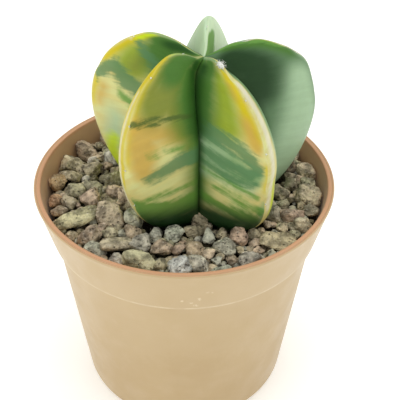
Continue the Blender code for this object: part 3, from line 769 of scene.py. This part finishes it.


# Marks are strokes of one colour on one flank, and every flank has a crease along its groove
# painted dark as shade. A stroke runs through points given as the share of the way from crest to
# groove and the level on the body's outline, 0 at the neck and 12 at the crown. Half its width in mm
# at its two ends comes last, and below 0 it leaves only a faint edge. A flank is named by its rib
# and its side: 1 is the side turned anticlockwise, seen from above.
CREASE_SHADE = [([(1.0, 2.5), (1.0, 11.6)], 0.5, 0.5)]
WHOLE_FLANK = [([(0.5, 0.0), (0.5, 12.0)], 16.0, 16.0)]
MARKS = {
    ("left front", 1): {
        "gold": [([(0.04, 8.9), (0.06, 7.8), (0.1, 6.8), (0.1, 5.2)], 1.4, 0.8)],
        "orange": [([(0.2, 6.3), (0.5, 6.3), (0.78, 6.3)], 2.6, 1.8),
                   ([(0.3, 5.8), (0.34, 5.0)], 3.4, 2.4)],
        "olive": [([(0.38, 7.3), (0.5, 7.6), (0.5, 8.2)], 4.4, 4.4),
                  ([(0.24, 7.6), (0.26, 9.3)], 2.6, 2.2), ([(0.7, 7.2), (0.85, 6.4)], 3.6, 3.0),
                  ([(0.95, 6.2), (0.9, 5.8)], 2.6, 2.0)],
        "leaf": [([(0.12, 8.6), (0.2, 9.6), (0.4, 10.6)], 0.2, 1.6),
                 ([(0.46, 8.8), (0.5, 10.0)], 4.8, 4.8), ([(0.9, 9.8), (0.8, 12.0)], 3.6, 6.0),
                 ([(0.8, 9.0), (0.85, 7.6), (0.92, 6.6)], 3.4, 2.2),
                 ([(1.0, 3.0), (1.0, 6.4)], 1.8, 2.2)],
        "light": [([(0.1, 2.0), (0.1, 3.4)], 1.2, 1.0), ([(0.0, 9.6), (0.1, 12.0)], 2.0, 4.6)],
        "lime": [([(0.04, 9.3), (0.04, 11.4)], 0.3, 0.3)],
        "green": [([(1.0, 4.3), (0.75, 4.1), (0.4, 3.75), (0.15, 3.4)], 0.6, 0.5),
                  ([(1.0, 3.8), (0.7, 3.6), (0.4, 3.2), (0.1, 2.8)], 0.9, 0.7),
                  ([(1.0, 3.35), (0.6, 3.2), (0.16, 3.1)], 2.2, 3.4),
                  ([(0.78, 5.78), (0.6, 5.7)], 0.5, 0.2), ([(0.5, 5.55), (0.38, 5.5)], 0.3, 0.1)],
        "band": [([(1.0, 5.45), (0.82, 5.3), (0.62, 5.0), (0.4, 4.62)], 2.0, 0.7)],
        "wisp": [([(0.02, 6.35), (0.2, 6.46), (0.38, 6.72), (0.6, 6.84)], 0.25, 0.5),
                 ([(0.6, 6.84), (0.82, 7.0), (1.0, 7.1)], 0.5, 0.3),
                 ([(0.32, 6.54), (0.5, 6.55)], 0.15, 0.1)],
        "shade": [([(0.42, 0.6), (0.95, 0.6)], 13.4, 14.4)],
        "deep": [([(1.0, 6.4), (0.98, 7.2), (0.94, 8.4), (0.86, 9.6), (0.8, 10.2)], 1.6, 1.8)],
    },
    ("right front", -1): {
        "gold": [([(0.12, 9.8), (0.2, 8.8), (0.2, 7.6), (0.14, 6.7)], 2.6, 1.8),
                 ([(0.06, 5.4), (0.06, 4.2)], 0.7, 0.4)],
        "orange": [([(0.3, 9.0), (0.3, 8.4)], 0.8, 0.8),
                   ([(0.28, 7.2), (0.24, 6.9), (0.18, 6.4)], 2.0, 1.6)],
        "moss": [([(0.45, 9.5), (0.5, 8.7), (0.56, 7.8), (0.62, 7.1)], 2.4, 3.6)],
        "leaf": [([(1.0, 6.8), (0.9, 8.2), (0.8, 9.4), (0.6, 10.4)], 3.4, 3.6),
                 ([(0.9, 9.8), (0.9, 12.0)], 3.0, 5.0), ([(1.0, 3.6), (1.0, 6.4)], 1.6, 2.0)],
        "light": [([(1.0, 5.7), (0.7, 5.4), (0.36, 4.9)], 5.0, 3.4),
                  ([(0.1, 2.0), (0.08, 3.4)], 1.8, 1.2),
                  ([(0.0, 10.4), (0.3, 11.4), (0.6, 12.0)], 3.4, 6.4)],
        "sage": [([(0.98, 6.0), (0.85, 5.95), (0.7, 5.85)], 0.5, -0.4),
                 ([(0.9, 5.4), (0.7, 5.1)], -0.2, -0.6),
                 ([(1.0, 4.9), (0.7, 4.65), (0.3, 4.2)], 0.2, 0.4)],
        "green": [([(1.0, 5.05), (0.6, 4.5), (0.2, 3.9)], 0.6, 0.5),
                  ([(0.8, 4.2), (0.4, 3.65), (0.1, 3.3)], 0.7, 0.7),
                  ([(1.0, 3.8), (0.8, 3.5), (0.5, 3.2), (0.2, 2.9)], 0.8, 1.6)],
        "band": [([(1.0, 6.55), (0.7, 6.45), (0.45, 6.15), (0.32, 5.8), (0.24, 5.3)], 2.1, 1.8),
                 ([(1.0, 5.75), (0.7, 5.45), (0.36, 5.05)], 1.2, 1.5),
                 ([(1.0, 5.2), (0.65, 4.85), (0.3, 4.5)], 0.7, 0.9)],
        "shade": [([(0.4, 0.6), (1.0, 0.6)], 14.4, 15.0)],
        "deep": [([(1.0, 6.6), (0.99, 7.6), (0.95, 9.0), (0.85, 10.0)], 1.4, 1.8)],
        "ivory_and_rim_highlight": [([(0.0, 4.2), (0.0, 6.8), (0.0, 8.4)], 0.2, -0.3)],
    },
    ("left back", 1): {
        "gold": [([(0.2, 8.9), (0.24, 7.8), (0.18, 7.0)], 2.0, 1.8),
                 ([(0.26, 5.9), (0.26, 5.2)], 1.6, 1.4)],
        "orange": [([(0.46, 6.0), (0.44, 5.4)], 1.0, 0.8)],
        "moss": [([(0.55, 8.1), (0.6, 7.6)], 3.8, 3.8)],
        "olive": [([(0.64, 8.0), (0.66, 7.6)], 1.4, 1.4)],
        "leaf": [([(0.45, 9.6), (0.5, 10.8)], 5.0, 6.0), ([(0.62, 9.1), (0.9, 8.5)], 4.2, 4.0)],
        "light": [([(0.0, 9.2), (0.0, 10.4), (0.2, 12.0)], 1.6, 4.0)],
        "sage": [([(0.72, 5.2), (0.7, 4.2)], 1.6, 2.4)],
        "lime": [([(0.2, 8.7), (0.16, 9.2)], 1.2, 0.6), ([(0.0, 7.2), (0.02, 5.4)], 0.6, 0.9),
                 ([(0.7, 4.3), (0.56, 3.5), (0.42, 2.6)], 1.0, 2.8)],
        "green": [([(0.7, 6.3), (0.95, 6.1)], 0.7, 0.9)],
        "band": [([(0.32, 8.5), (0.6, 8.4), (0.85, 8.2)], 0.7, 1.2),
                 ([(0.25, 6.3), (0.44, 7.05), (0.85, 6.85)], 1.5, 2.1)],
        "shade": [([(0.3, 0.8), (1.0, 1.4)], 4.0, 6.0)],
        "deep": [([(0.5, 9.8), (0.5, 10.6)], 2.8, 3.2)],
        "ivory_and_rim_highlight": [([(0.0, 8.3), (0.2, 8.3)], 0.2, -0.2)],
    },
    ("right back", -1): {
        "mist": WHOLE_FLANK,
        "leaf": [([(0.2, 7.9), (0.24, 8.8), (0.45, 10.2)], 1.6, 2.4),
                 ([(0.05, 9.4), (0.1, 10.4), (0.3, 11.6)], 2.0, 4.4)],
        "sage": [([(0.5, 2.4), (0.56, 4.4), (0.42, 6.8)], 8.0, 3.2),
                 ([(0.0, 5.0), (0.05, 7.4)], 1.2, 1.0)],
        "lime": [([(0.0, 8.2), (0.02, 11.0)], 1.0, 0.8)],
        "green": [([(0.15, 8.2), (0.14, 9.2), (0.22, 11.6)], 0.4, 2.6)],
        "shade": [([(0.76, 9.5), (0.76, 8.6)], 4.2, 4.6), ([(0.72, 8.4), (0.95, 7.2)], 4.2, 3.8)],
        "ivory_and_rim_highlight": [([(0.0, 3.0), (0.02, 8.3)], 1.0, 0.4)],
    },
    ("back", 1): {
        "sage": WHOLE_FLANK,
        "frost": [([(0.1, 3.0), (0.1, 10.4)], 2.0, 1.6)],
    },
    ("back", -1): {
        "frost": WHOLE_FLANK,
        "green": [([(0.55, 10.0), (0.75, 10.3), (0.92, 10.8)], 3.4, 4.2)],
    },
    ("left back", -1): {
        "gold": [([(0.1, 8.4), (0.12, 6.8)], 2.2, 2.0)],
        "moss": [([(0.5, 7.0), (0.6, 8.2)], 4.0, 4.0)],
        "leaf": [([(0.6, 8.6), (0.5, 12.0)], 5.4, 6.0), ([(1.0, 3.0), (1.0, 8.0)], 2.0, 2.6)],
        "sage": [([(0.4, 4.9), (0.45, 3.0)], 2.6, 3.0)],
        "lime": [([(0.0, 9.4), (0.0, 8.2)], 0.6, 0.6), ([(0.2, 4.7), (0.2, 2.6)], 1.0, 2.0)],
        "green": [([(0.9, 5.0), (0.4, 4.4)], 0.6, 0.4), ([(1.0, 3.8), (0.3, 3.0)], 1.2, 1.0)],
        "band": [([(1.0, 6.2), (0.7, 6.0), (0.25, 5.3)], 1.9, 1.2)],
        "shade": [([(0.3, 0.8), (1.0, 1.0)], 6.0, 8.5)],
        "deep": [([(1.0, 6.0), (0.95, 11.0)], 1.0, 2.2)],
    },
    ("left front", -1): {
        "gold": [([(0.1, 9.0), (0.16, 7.4), (0.14, 6.2), (0.1, 4.4)], 2.2, 1.6)],
        "moss": [([(0.6, 7.2), (0.6, 8.2)], 4.0, 4.0)],
        "leaf": [([(0.6, 8.8), (0.5, 12.0)], 5.4, 6.0), ([(1.0, 3.0), (1.0, 8.0)], 2.0, 2.6)],
        "light": [([(0.0, 9.6), (0.1, 12.0)], 2.0, 4.6)],
        "sage": [([(0.4, 4.6), (0.4, 3.0)], 2.2, 2.8)],
        "lime": [([(0.04, 9.3), (0.04, 11.4)], 0.3, 0.3)],
        "green": [([(0.95, 5.2), (0.5, 4.7)], 0.5, 0.3), ([(1.0, 3.8), (0.3, 3.0)], 1.2, 1.0)],
        "band": [([(1.0, 6.4), (0.7, 6.2), (0.3, 5.6)], 1.9, 1.1), ([(0.95, 4.5), (0.5, 3.9)], 0.6, 0.4)],
        "shade": [([(0.2, 0.8), (1.0, 1.0)], 6.0, 8.5)],
        "deep": [([(1.0, 6.0), (0.95, 11.0)], 1.0, 2.2)],
        "ivory_and_rim_highlight": [([(0.16, 3.0), (0.16, 5.6), (0.12, 7.4)], 0.7, 0.4)],
    },
    ("right front", 1): {
        "mist": [([(0.9, 1.0), (0.85, 12.0)], 8.0, 8.0)],
        "light": [([(0.5, 3.0), (0.5, 9.0)], 1.8, 1.8)],
        "lime": [([(0.2, 4.4), (0.22, 3.0)], 0.4, 1.2)],
        "shade": [([(0.2, 0.8), (1.0, 1.0)], 6.0, 8.5), ([(1.0, 6.0), (0.9, 9.5)], 0.8, 3.0)],
        "ivory_and_rim_highlight": [([(0.06, 3.4), (0.12, 5.4), (0.17, 6.9), (0.14, 8.8)], 0.5, 1.6)],
    },
    ("right back", 1): {
        "mist": WHOLE_FLANK,
        "sage": [([(0.15, 3.2), (0.16, 6.4)], 3.2, 2.0),
                 ([(0.02, 7.6), (0.04, 9.0), (0.1, 10.6)], 0.9, 1.2)],
        "shade": [([(0.85, 6.0), (0.75, 9.4)], 3.0, 4.0)],
        "ivory_and_rim_highlight": [([(0.0, 3.0), (0.02, 9.4)], 1.0, 0.9)],
    },
}
# Each colour has the width in mm over which its edge fades, how far streaks break that edge, and
# how much of the skin under it shows through. Later ones lie over earlier ones.
MARK_COLOURS = {
    "gold": (seen_as(200, 182, 24), 1.7, 0.5, 0.0),
    "orange": (seen_as(194, 160, 72), 1.8, 0.8, 0.1),
    "moss": (seen_as(136, 156, 24), 2.4, 0.6, 0.05),
    "olive": (seen_as(120, 131, 44), 2.4, 0.6, 0.05),
    "mist": (seen_as(88, 120, 82), 2.0, 0.6, 0.0),
    "leaf": (seen_as(72, 116, 42), 2.2, 0.7, 0.0),
    "light": (seen_as(124, 158, 106), 1.6, 1.4, 0.05),
    "sage": (seen_as(164, 192, 154), 2.8, 0.1, 0.1),
    "frost": (seen_as(194, 218, 182), 1.8, 0.6, 0.1),
    "lime": (seen_as(190, 214, 24), 1.2, 0.6, 0.1),
    "green": (seen_as(96, 144, 58), 0.8, 1.8, 0.1),
    "band": (seen_as(80, 124, 78), 0.9, 2.2, 0.15),
    "wisp": (seen_as(76, 96, 38), 0.45, 1.6, 0.1),
    "shade": (seen_as(36, 66, 32), 2.6, 1.0, 0.0),
    "deep": (seen_as(36, 78, 20), 1.9, 0.6, 0.0),
    # The crease along each groove is painted dark as shade
    "crease_shade": (seen_as(30, 62, 20), 0.8, 0.0, 0.1),
    # Ivory is the pale crest tissue, with a painted highlight of the light along the crest's rim
    "ivory_and_rim_highlight": (seen_as(214, 210, 180), 0.9, 0.4, 0.0),
}
FLANK_WIDTH = 15.0
LEVEL_HEIGHT = 5.5
FAR_OUTSIDE = -6.0
STREAK_SLOPE = 0.52


def inside_mark(mark, along, up):
    """How many mm inside the mark a point lies; below 0 it is outside."""
    points, first_width, last_width = mark
    deepest = FAR_OUTSIDE
    spans = len(points) - 1
    for span, ((across, level), (next_across, next_level)) in enumerate(zip(points, points[1:])):
        x, y = across * FLANK_WIDTH, level * LEVEL_HEIGHT
        go_x, go_y = next_across * FLANK_WIDTH - x, next_level * LEVEL_HEIGHT - y
        share = ((along - x) * go_x + (up - y) * go_y) / max(go_x * go_x + go_y * go_y, 1e-6)
        share = min(max(share, 0.0), 1.0)
        width = first_width + (last_width - first_width) * (span + share) / spans
        away = math.hypot(along - x - go_x * share, up - y - go_y * share)
        deepest = max(deepest, width - away)
    return deepest


# The body starts as a ball. Each point goes to its place by its ring, from the tip of the
# taproot up, its rib and side, and the share of the way from crest to groove. The skin's own map
# has the way out from the groove, and the way up with a slope that the streaks follow, in cm.
bpy.ops.mesh.primitive_uv_sphere_add(segments=BODY_SEGMENTS, ring_count=BODY_RINGS, radius=1.0)
cactus = bpy.context.object
cactus.name = "cactus_body"
body = cactus.data
half_rib = BODY_SEGMENTS // (2 * len(RIBS))
marked = {kind: [] for kind in MARK_COLOURS}
spread = []
for vert in body.vertices:
    ring = BODY_RINGS - round(math.acos(max(-1, min(1, vert.co.z))) / math.pi * BODY_RINGS)
    segment = round(math.atan2(vert.co.y, vert.co.x) / (2 * math.pi) * BODY_SEGMENTS) % BODY_SEGMENTS
    index, within = divmod(segment + half_rib, 2 * half_rib)
    index %= len(RIBS)
    offset = (within - half_rib) / half_rib
    side, across = (1 if offset >= 0 else -1), abs(offset)
    level = max(0.0, (ring - ROOT_RINGS) / RINGS_PER_LEVEL)
    if ring < ROOT_RINGS:
        radius, height = root_ring(ring)
        turn = math.radians(HALF_RIB_TURN * offset)
        point = plant_place(index, radius * math.cos(turn), radius * math.sin(turn), height)
    elif ring == BODY_RINGS:
        point = plant_place(index, 0, 0, CROWN_HEIGHT)
    else:
        point = skin_point(index, side, across, ring - ROOT_RINGS)
    along, up = across * FLANK_WIDTH, level * LEVEL_HEIGHT
    flank = {**MARKS[RIBS[index]["name"], side], "crease_shade": CREASE_SHADE}
    for kind in MARK_COLOURS:
        depths = [inside_mark(mark, along, up) for mark in flank.get(kind, ())]
        marked[kind].append(max(depths, default=FAR_OUTSIDE))
    vert.co = point * MM
    vert.co.z = min(vert.co.z, cad_box[1][2])
    from_groove = (1 - across) * FLANK_WIDTH
    spread.append((from_groove / 10, (up + STREAK_SLOPE * from_groove) / 10))
for kind in MARK_COLOURS:
    body.attributes.new("mark_" + kind, "FLOAT", "POINT").data.foreach_set("value", marked[kind])
skin_map = body.uv_layers[0]
skin_map.name = "skin"
for loop in body.loops:
    skin_map.data[loop.index].uv = spread[loop.vertex_index]
bpy.ops.object.shade_smooth_by_angle(angle=math.radians(30))


def drawn_streaks(tree, place, stretch, detail, roughness):
    """Noise between 0 and 1, drawn out along the skin's own map and drifting with the place."""
    on_skin = add_node(tree, "UVMap", {"uv_map": "skin"}).outputs["UV"]
    drift = add_node(tree, "VectorMath", {"operation": "SCALE"}, {0: place, "Scale": 12.0}).outputs[0]
    feeds = {0: on_skin, 1: stretch, 2: drift}
    along = add_node(tree, "VectorMath", {"operation": "MULTIPLY_ADD"}, feeds).outputs[0]
    feeds = {"Vector": along, "Scale": 1.0, "Detail": detail, "Roughness": roughness}
    return add_node(tree, "TexNoise", None, feeds).outputs["Fac"]


cactus_skin, tree, shader, place = bare_finish("cactus skin", 0.5, 0.2)
streaks = drawn_streaks(tree, place, (1.2, 8.0, 1.0), 4.0, 0.6)
broad = drawn_streaks(tree, place, (1.0, 4.0, 1.0), 3.0, 0.5)
colour = blend(tree, ramp(tree, broad, 0.35, 0.65), seen_as(208, 208, 140), seen_as(204, 192, 120))
ragged = maths(tree, "ADD", streaks, maths(tree, "MULTIPLY", clouds(tree, place, 1.0 * MM, 4), 0.3))
for kind, (mark_colour, soft, streaky, sheer) in MARK_COLOURS.items():
    nearness = add_node(tree, "Attribute", {"attribute_name": "mark_" + kind}).outputs["Fac"]
    broken = maths(tree, "MULTIPLY", maths(tree, "SUBTRACT", ragged, 0.65), 2 * streaky)
    cover = ramp(tree, maths(tree, "ADD", nearness, broken), -soft, soft, 0.0, 1.0 - sheer)
    colour = blend(tree, cover, colour, mark_colour)
lighter = ramp(tree, ragged, 0.45, 0.85, 0.96, 1.04)
shading = add_node(tree, "CombineColor", None, {0: lighter, 1: lighter, 2: lighter}).outputs[0]
colour = blend(tree, 1.0, colour, shading, "MULTIPLY")
height = add_node(tree, "SeparateXYZ", None, {0: place}).outputs["Z"]
buried = ramp(tree, height, (GRAVEL_LEVEL - 8.2) * MM, (GRAVEL_LEVEL - 4.2) * MM, 1.0, 0.0)
colour = blend(tree, buried, colour, seen_as(188, 164, 122))
tree.links.new(colour, shader.inputs["Base Color"])
shader.inputs["Subsurface Weight"].default_value = 0.06
shader.inputs["Subsurface Radius"].default_value = (1.0, 0.8, 0.3)
shader.inputs["Subsurface Scale"].default_value = 1.2 * MM
bloom = ramp(tree, clouds(tree, place, 5 * MM, 4), 0.35, 0.65, 0.42, 0.54)
tree.links.new(bloom, shader.inputs["Roughness"])
relief(tree, shader, clouds(tree, place, 0.35 * MM, 2), 0.01 * MM)
body.materials.clear()
body.materials.append(cactus_skin)
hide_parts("cactus")
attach(cactus, "root")

# Each areole on a crest is a low felt pad of white wool that sits in a notch of the skin. The
# youngest one at the front still has its full tuft; the old ones are worn to a few hairs.

# Half the width and height of a tuft's pad, its number of hairs, and the longest hair
FRESH_TUFT = {"wide": 0.95, "high": 0.42, "hairs": 70, "longest": 0.85}
WORN_TUFT = {"wide": 0.2, "high": 0.16, "hairs": 4, "longest": 0.3}
TUFT_SINK = 0.25

felt, tree, shader, place = bare_finish("areole felt", 0.9, 0.2)
colour = blend(tree, ramp(tree, clouds(tree, place, 0.4 * MM, 3), 0.35, 0.65),
               seen_as(224, 225, 214), seen_as(244, 245, 240))
tree.links.new(colour, shader.inputs["Base Color"])
relief(tree, shader, clouds(tree, place, 0.2 * MM, 3), 0.08 * MM)

wool_parts = []
for index, rib in enumerate(RIBS):
    points = crest_line(rib)
    for number, distance in enumerate(rib["areoles"]):
        rng = random.Random(900 + 10 * index + number)
        tuft = FRESH_TUFT if (rib["name"], number) == ("right front", 0) else WORN_TUFT
        after = next(i for i, (gone, _) in enumerate(points) if i and gone >= distance)
        crest_radius, crest_height = points[after][1]
        along = (points[after][1] - points[after - 1][1]).normalized()
        out, up = -along.y, along.x
        foot = plant_place(
            index, crest_radius - TUFT_SINK * out, 0, crest_height - TUFT_SINK * up)
        tip = plant_place(index, crest_radius + out, 0, crest_height + up)
        turn = (tip - foot).normalized().to_track_quat("Z", "Y").to_matrix().to_4x4()
        bpy.ops.mesh.primitive_ico_sphere_add(subdivisions=3, radius=1.0)
        pad = bpy.context.object
        for vert in pad.data.vertices:
            vert.co *= 1 + rng.uniform(-0.14, 0.14)
        size = Matrix.Diagonal((tuft["wide"] * 0.65, tuft["wide"] * 0.95, tuft["high"], 1.0))
        pad.data.transform(Matrix.Translation(foot) @ turn @ size)
        wool_parts.append(pad)
        for _ in range(tuft["hairs"]):
            lean = rng.uniform(0.7, 1.55)
            way = rng.uniform(0, 2 * math.pi)
            length = rng.uniform(0.4, 1.0) * tuft["longest"]
            bpy.ops.mesh.primitive_cone_add(
                vertices=3, radius1=0.05, radius2=0.01, depth=length, end_fill_type="NGON")
            hair = bpy.context.object
            reach = 0.8 * tuft["wide"] * rng.random()
            hair.data.transform(
                Matrix.Translation(foot) @ turn
                @ Matrix.Translation((reach * math.cos(way), reach * math.sin(way), 0.2))
                @ Matrix.Rotation(way, 4, "Z") @ Matrix.Rotation(lean, 4, "Y")
                @ Matrix.Translation((0, 0, length / 2)))
            wool_parts.append(hair)
wool = joined("areole_wool", wool_parts, felt)
wool.data.transform(Matrix.Diagonal((MM, MM, MM, 1.0)))
for vert in wool.data.vertices:
    vert.co.z = min(vert.co.z, cad_box[1][2])
wool.data.shade_smooth()
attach(wool, "root")

# The picture is taken on a white table in a white room, with soft lamps above and at both
# sides, the left one the stronger. The camera looks down 38 degrees.

bpy.ops.mesh.primitive_plane_add(size=3.0, location=(0, 0, -0.01 * MM))
table = bpy.context.object
table.name = "table"
table_top, tree, shader, place = bare_finish("white table", 0.9, 0.1)
colour = blend(tree, clouds(tree, place, 60 * MM), seen_as(250, 250, 247), seen_as(253, 253, 250))
tree.links.new(colour, shader.inputs["Base Color"])
# The table glows a little, which lifts the shade under the pot and lights the pot from below
shader.inputs["Emission Color"].default_value = (1.0, 1.0, 0.99, 1.0)
shader.inputs["Emission Strength"].default_value = 0.26
table.data.materials.append(table_top)

scene = bpy.context.scene
scene.view_settings.view_transform = "Standard"
world = bpy.data.worlds.new("white room")
world.use_nodes = True
walls = world.node_tree.nodes["Background"]
walls.inputs["Color"].default_value = (1.0, 1.0, 0.985, 1.0)
walls.inputs["Strength"].default_value = 0.66
scene.world = world

LAMP_SIZE = 0.5
# Each lamp's place in metres and its power in watts
LAMPS = {
    "lamp above": ((0.05, 0.1, 0.6), 1.2),
    "lamp left": ((-0.5, -0.2, 0.25), 1.1),
    "lamp right": ((0.5, -0.2, 0.25), 0.7),
}
lit_point = Vector((0, 0, 0.05))
for name, (spot, power) in LAMPS.items():
    bpy.ops.object.light_add(type="AREA", location=spot)
    lamp = bpy.context.object
    lamp.name = name
    lamp.data.size = LAMP_SIZE
    lamp.data.energy = power
    lamp.rotation_euler = (lit_point - Vector(spot)).to_track_quat("-Z", "Y").to_euler()

CAMERA_PLACE = (0, -0.12396, 0.14607)
CAMERA_PITCH = 38.32
CAMERA_YAW = 1.59
CAMERA_ROLL = 0.84
bpy.ops.object.camera_add(location=CAMERA_PLACE)
camera = bpy.context.object
camera.data.lens = 63.0
camera.data.sensor_width = 36.0
camera.data.clip_start = 0.01
pitch, yaw, roll = (math.radians(angle) for angle in (CAMERA_PITCH, CAMERA_YAW, CAMERA_ROLL))
ahead = Vector((math.sin(yaw) * math.cos(pitch), math.cos(yaw) * math.cos(pitch), -math.sin(pitch)))
level_right = Vector((math.cos(yaw), -math.sin(yaw), 0))
level_up = level_right.cross(ahead)
right = math.cos(roll) * level_right + math.sin(roll) * level_up
up = math.cos(roll) * level_up - math.sin(roll) * level_right
camera.rotation_euler = Matrix((right, up, -ahead)).transposed().to_euler()
scene.camera = camera
